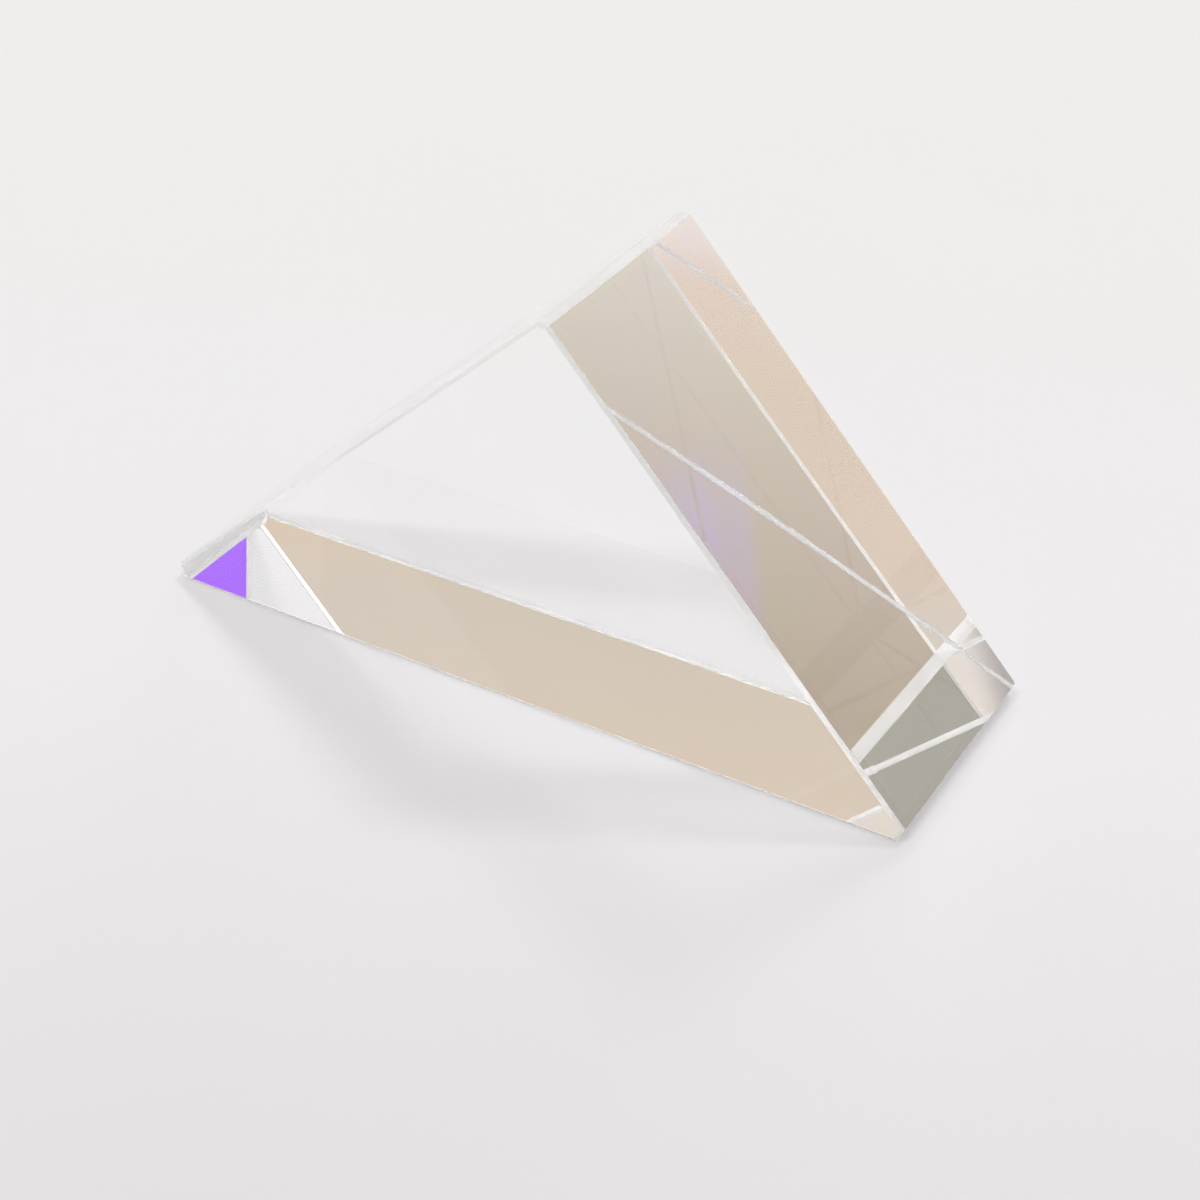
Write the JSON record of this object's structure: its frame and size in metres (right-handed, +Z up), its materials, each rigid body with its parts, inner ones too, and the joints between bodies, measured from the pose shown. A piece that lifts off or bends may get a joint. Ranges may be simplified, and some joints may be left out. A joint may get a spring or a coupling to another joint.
{
  "type": "right-angle glass prism",
  "caption": "Right-angle glass prism lying on its wide face, with polished faces, a ground bevel along every edge and a thin anti-reflection film on each leg face.",
  "frame": {"origin": "centre of the wide face opposite the right angle, which the prism lies on", "axes": "+X along the wide face from one sharp edge to the other, +Y along the prism's length, +Z up to the right-angle ridge"},
  "size_m": [0.034, 0.012, 0.0174],
  "materials": {
    "optical_glass": "clear crown glass, polished faces and fine-ground bevels",
    "antireflection_film": "clear vacuum-deposited film with a faint lilac bloom"
  },
  "bodies": {
    "root": {"prism_body": "optical_glass", "left_leg_film": "antireflection_film", "right_leg_film": "antireflection_film"}
  },
  "joints": []
}
